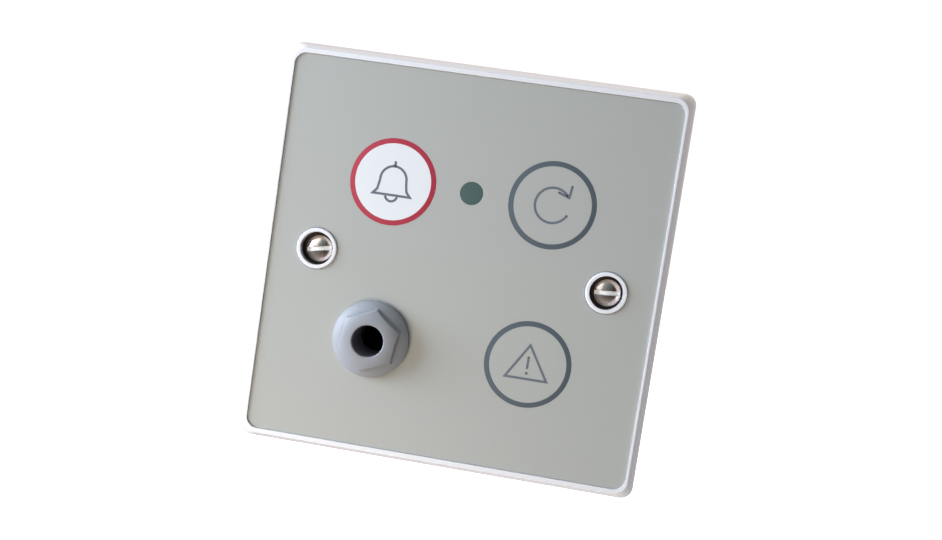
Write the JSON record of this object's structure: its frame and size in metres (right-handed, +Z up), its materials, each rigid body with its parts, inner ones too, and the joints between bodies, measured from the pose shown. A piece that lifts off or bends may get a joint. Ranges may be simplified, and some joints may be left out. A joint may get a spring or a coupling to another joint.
{
  "type": "emergency call point",
  "caption": "Square wall plate with round film-covered keys, an indicator window and a plug-in socket for a pull lead, for calling help.",
  "frame": {"origin": "centre of the wall face: the plane of the plate's back rim, midway between its edges", "axes": "+X right seen from the front, +Z up, +Y into the wall; the keys and the socket face -Y"},
  "size_m": [0.086, 0.0357, 0.086],
  "materials": {
    "white_moulding": "satin white moulded plastic",
    "film_grey": "fine satin grey-green printed polyester",
    "print_white": "satin white print",
    "print_red": "satin crimson print",
    "print_slate": "satin slate grey print",
    "window_tint": "gloss grey-green tinted window",
    "lamp_green": "diffused green lamp",
    "nickel": "nickel plated steel",
    "zinc": "zinc plated steel",
    "nut_grey": "satin blue-grey moulded plastic",
    "black_moulding": "matt black moulded plastic",
    "spring_metal": "tinned spring brass",
    "board_green": "green solder mask on glass laminate",
    "pad_white": "natural white moulded plastic",
    "cover_steel": "bright pressed steel",
    "terminal_green": "green moulded plastic",
    "chip_black": "matt black moulded package",
    "can_black": "black sleeve on an aluminium can",
    "resistor_black": "black glazed chip"
  },
  "bodies": {
    "plate": {"alert_ring": "print_slate", "alert_switch_base": "black_moulding", "alert_switch_cover": "cover_steel", "alert_switch_dome": "cover_steel", "board_screws": "zinc", "call_field": "print_white", "call_ring": "print_red", "call_switch_base": "black_moulding", "call_switch_cover": "cover_steel", "call_switch_dome": "cover_steel", "capacitor": "can_black", "circuit_board": "board_green", "controller_chip": "chip_black", "face_plate": "white_moulding", "fixing_screws": "nickel", "indicator_led": "lamp_green", "indicator_window": "window_tint", "jack_housing": "black_moulding", "jack_links": "cover_steel", "jack_nut": "nut_grey", "jack_rear_cover": "black_moulding", "jack_ring_contact": "spring_metal", "jack_sleeve_contact": "spring_metal", "jack_tip_contact": "spring_metal", "overlay_film": "film_grey", "reset_ring": "print_slate", "reset_switch_base": "black_moulding", "reset_switch_cover": "cover_steel", "reset_switch_dome": "cover_steel", "resistors": "resistor_black", "terminal_block": "terminal_green", "terminal_clamps": "zinc", "terminal_screws": "zinc"},
    "call_key": {"call_key_pad": "pad_white", "call_switch_stem": "black_moulding"},
    "reset_key": {"reset_key_pad": "pad_white", "reset_switch_stem": "black_moulding"},
    "alert_key": {"alert_key_pad": "pad_white", "alert_switch_stem": "black_moulding"}
  },
  "joints": [
    {"name": "call_press", "type": "slide", "parent": "plate", "child": "call_key", "axis": [0, 1, 0], "range_m": [0, 0.00035], "stiffness_N_per_m": 4500, "deforming": ["call_switch_dome"]},
    {"name": "reset_press", "type": "slide", "parent": "plate", "child": "reset_key", "axis": [0, 1, 0], "range_m": [0, 0.00035], "stiffness_N_per_m": 4500, "deforming": ["reset_switch_dome"]},
    {"name": "alert_press", "type": "slide", "parent": "plate", "child": "alert_key", "axis": [0, 1, 0], "range_m": [0, 0.00035], "stiffness_N_per_m": 4500, "deforming": ["alert_switch_dome"]}
  ]
}
